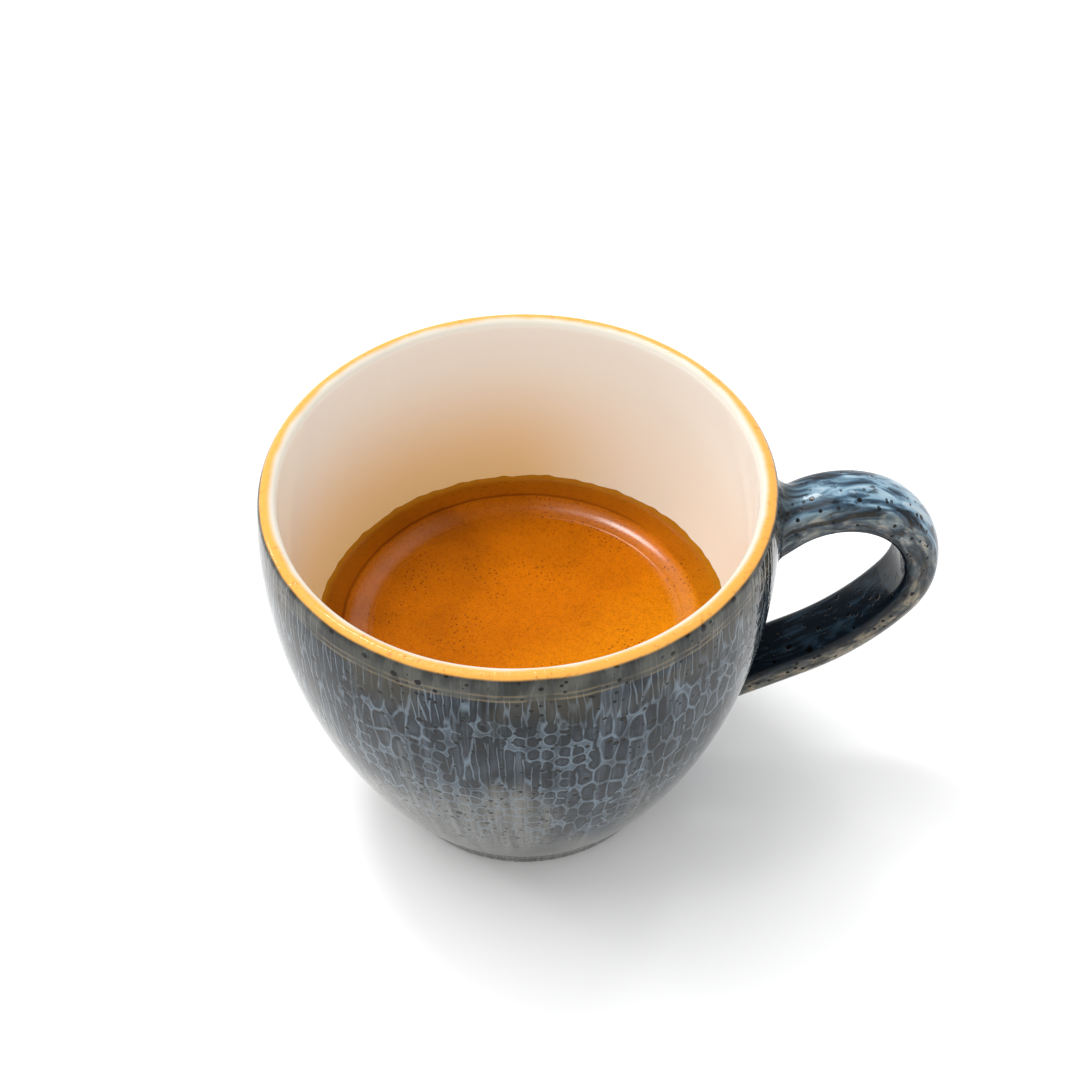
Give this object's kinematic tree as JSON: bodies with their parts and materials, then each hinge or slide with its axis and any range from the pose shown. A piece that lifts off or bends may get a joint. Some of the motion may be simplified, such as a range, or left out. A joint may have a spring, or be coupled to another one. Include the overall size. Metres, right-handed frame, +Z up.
{
  "type": "espresso shot in a stoneware cup",
  "caption": "Small egg-shaped stoneware cup with a loop handle, part-filled with espresso under a crema, standing on its foot ring.",
  "frame": {"origin": "centre of the foot ring, on the surface that the cup stands on", "axes": "+Z up along the cup's axis, +X out through the middle of the handle"},
  "size_m": [0.0875, 0.0658, 0.054],
  "materials": {
    "reactive_glaze_stoneware": "glossy reactive glaze, slate blue outside with an amber lip, cream inside",
    "espresso_crema": "satin fine-bubbled crema over coffee"
  },
  "bodies": {
    "root": {"cup": "reactive_glaze_stoneware", "espresso": "espresso_crema"}
  },
  "joints": []
}
